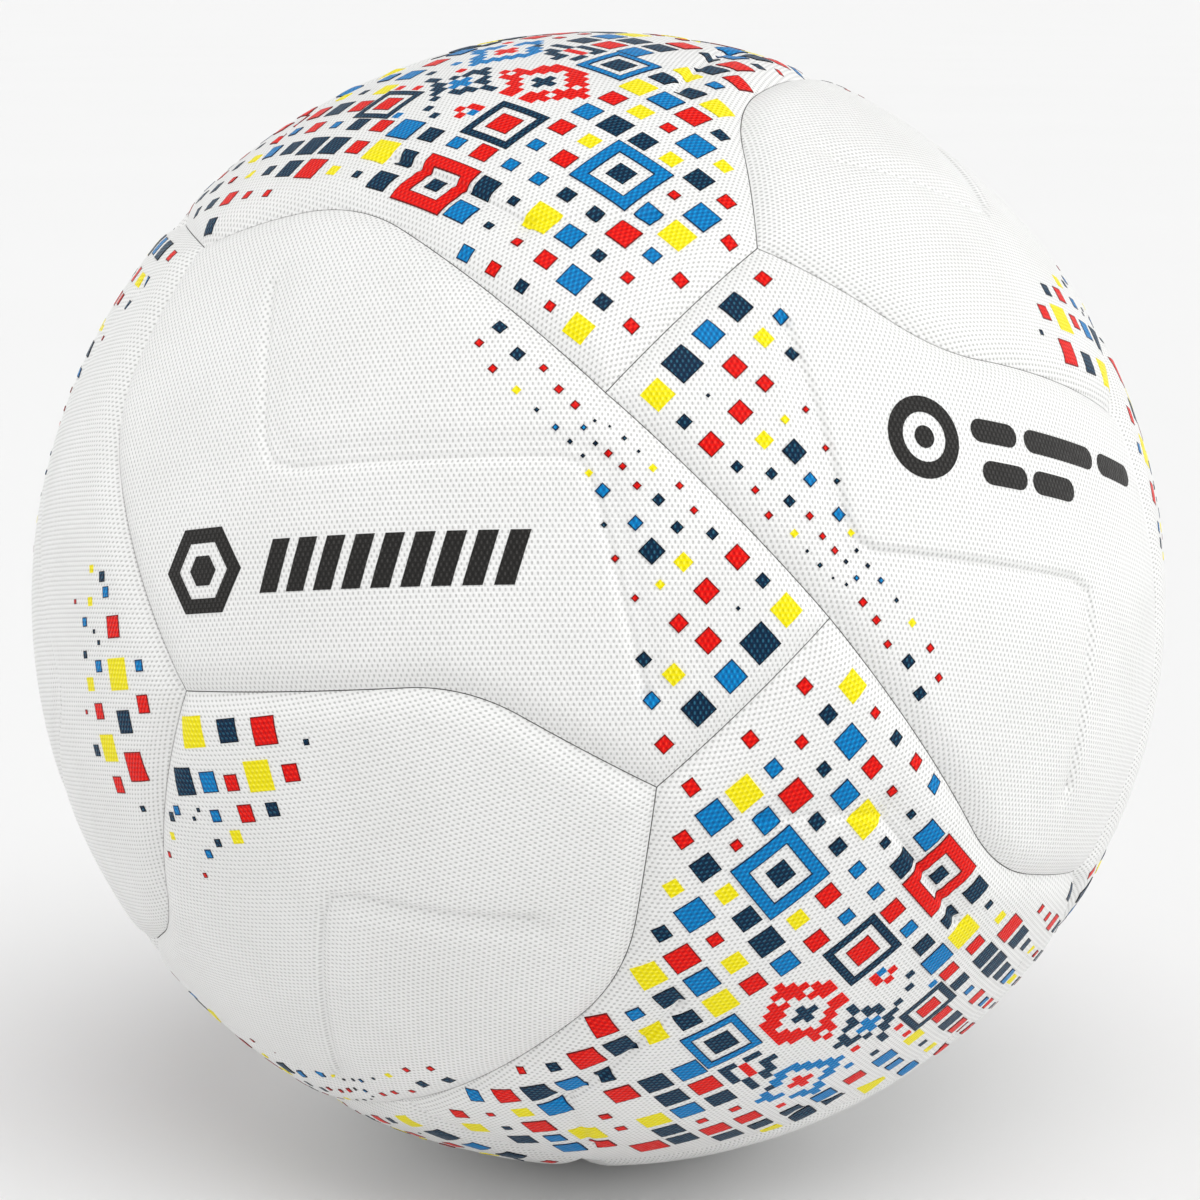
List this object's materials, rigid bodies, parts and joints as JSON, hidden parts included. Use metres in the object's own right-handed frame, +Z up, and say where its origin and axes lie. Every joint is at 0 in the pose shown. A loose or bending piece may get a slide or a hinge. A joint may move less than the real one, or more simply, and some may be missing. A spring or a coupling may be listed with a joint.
{
  "type": "soccer ball",
  "caption": "Round football with textured white panels in two shapes, bonded seams, a print of small coloured squares, and a needle valve.",
  "frame": {"origin": "centre of the ball", "axes": "+Z up, +Y outwards along the valve's needle bore"},
  "size_m": [0.22, 0.2199, 0.22],
  "materials": {
    "panel_skin": "fine raised grain, satin polyurethane",
    "foam": "closed-cell foam",
    "bond": "dark adhesive",
    "lining": "plain woven polyester",
    "bladder": "matt butyl",
    "valve_rubber": "moulded, satin",
    "valve_core": "soft, satin",
    "print_red": "screen-printed ink",
    "print_yellow": "screen-printed ink",
    "print_blue": "screen-printed ink",
    "print_navy": "screen-printed ink",
    "print_grey": "screen-printed ink"
  },
  "bodies": {
    "root": {"wing_skin_01": "panel_skin", "wing_skin_02": "panel_skin", "wing_skin_03": "panel_skin", "wing_skin_04": "panel_skin", "wing_skin_05": "panel_skin", "wing_skin_06": "panel_skin", "wing_skin_07": "panel_skin", "wing_skin_08": "panel_skin", "wing_skin_09": "panel_skin", "wing_skin_10": "panel_skin", "wing_skin_11": "panel_skin", "wing_skin_12": "panel_skin", "star_skin_01": "panel_skin", "star_skin_02": "panel_skin", "star_skin_03": "panel_skin", "star_skin_valve": "panel_skin", "wing_foam_01": "foam", "wing_foam_02": "foam", "wing_foam_03": "foam", "wing_foam_04": "foam", "wing_foam_05": "foam", "wing_foam_06": "foam", "wing_foam_07": "foam", "wing_foam_08": "foam", "wing_foam_09": "foam", "wing_foam_10": "foam", "wing_foam_11": "foam", "wing_foam_12": "foam", "star_foam_01": "foam", "star_foam_02": "foam", "star_foam_03": "foam", "star_foam_valve": "foam", "seam_bond": "bond", "lining": "lining", "bladder": "bladder", "valve_patch": "lining", "valve_housing": "valve_rubber", "valve_core": "valve_core"}
  },
  "joints": []
}
